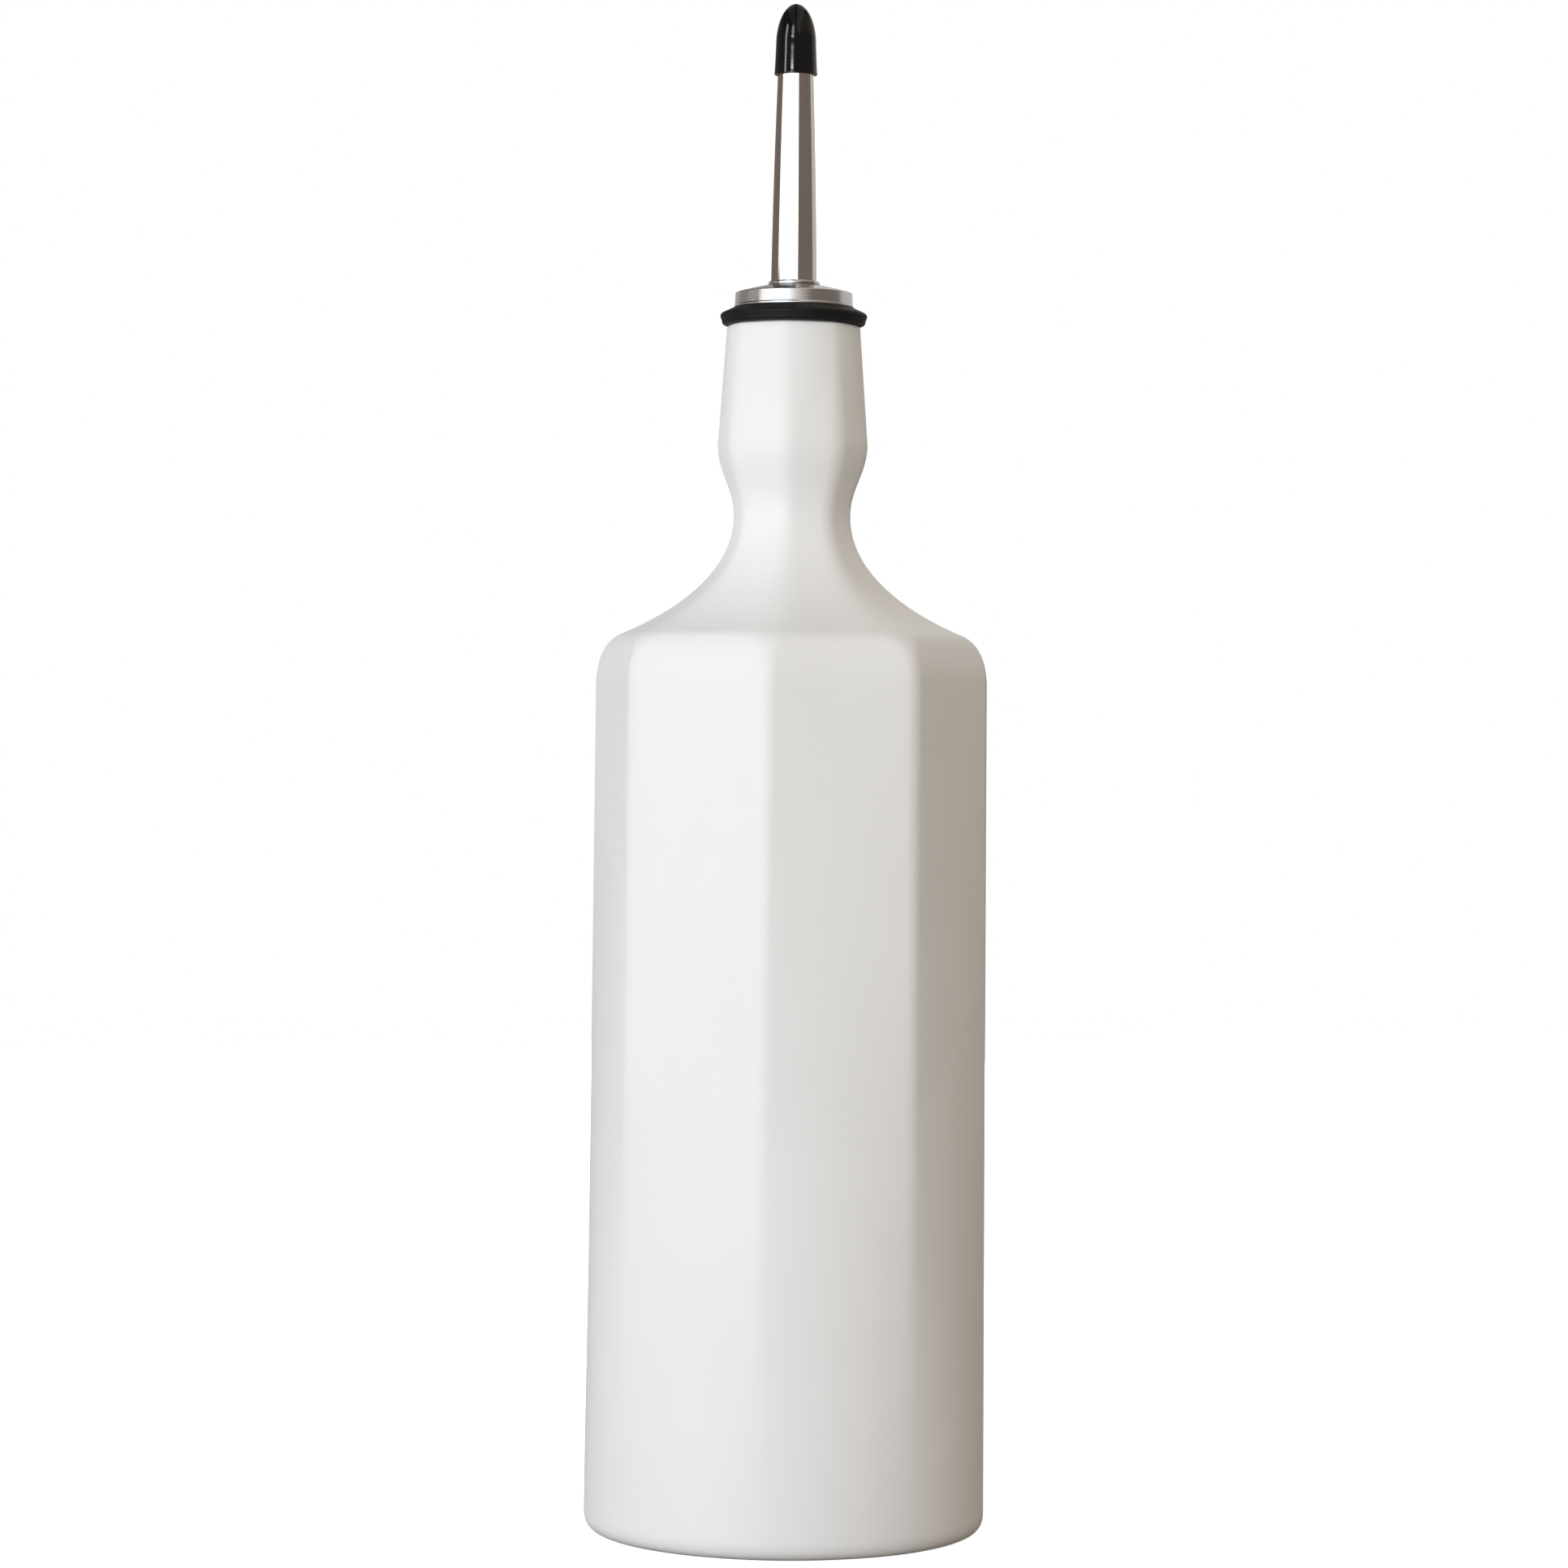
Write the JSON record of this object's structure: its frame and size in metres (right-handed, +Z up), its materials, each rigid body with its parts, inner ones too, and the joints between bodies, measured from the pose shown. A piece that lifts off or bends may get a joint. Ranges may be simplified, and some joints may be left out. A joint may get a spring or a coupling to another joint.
{
  "type": "oil dispenser bottle",
  "caption": "Faceted white ceramic oil bottle with a push-in steel pouring spout, a black rubber stopper and a small black dust cap.",
  "frame": {"origin": "middle of the bottle's foot, on the surface that it stands on", "axes": "+Z up along the bottle's axis to the spout's tip, with a flat facet facing each of X and Y"},
  "size_m": [0.0812, 0.0812, 0.31],
  "materials": {
    "ceramic_glaze": "satin white glaze, bare clay on the ring that it stands on",
    "stopper_rubber": "satin black",
    "collar_steel": "fine turned brushing",
    "spout_steel": "polished lengthwise",
    "cap_plastic": "glossy black"
  },
  "bodies": {
    "bottle": {"ceramic_bottle": "ceramic_glaze"},
    "stopper": {"rubber_stopper": "stopper_rubber"},
    "spout": {"steel_collar": "collar_steel", "spout_ring": "collar_steel", "pour_spout": "spout_steel", "shank_tube": "spout_steel", "vent_tube": "spout_steel"},
    "cap": {"dust_cap": "cap_plastic"}
  },
  "joints": [
    {"name": "pourer_lift", "type": "slide", "parent": "bottle", "child": "stopper", "axis": [0, 0, 1], "range_m": [0, 0.065]},
    {"name": "spout_turn", "type": "hinge", "parent": "stopper", "child": "spout", "pos_m": [0, 0, 0.2447], "axis": [0, 0, 1], "continuous": true},
    {"name": "cap_lift", "type": "slide", "parent": "spout", "child": "cap", "axis": [0, 0, 1], "range_m": [0, 0.025]}
  ]
}
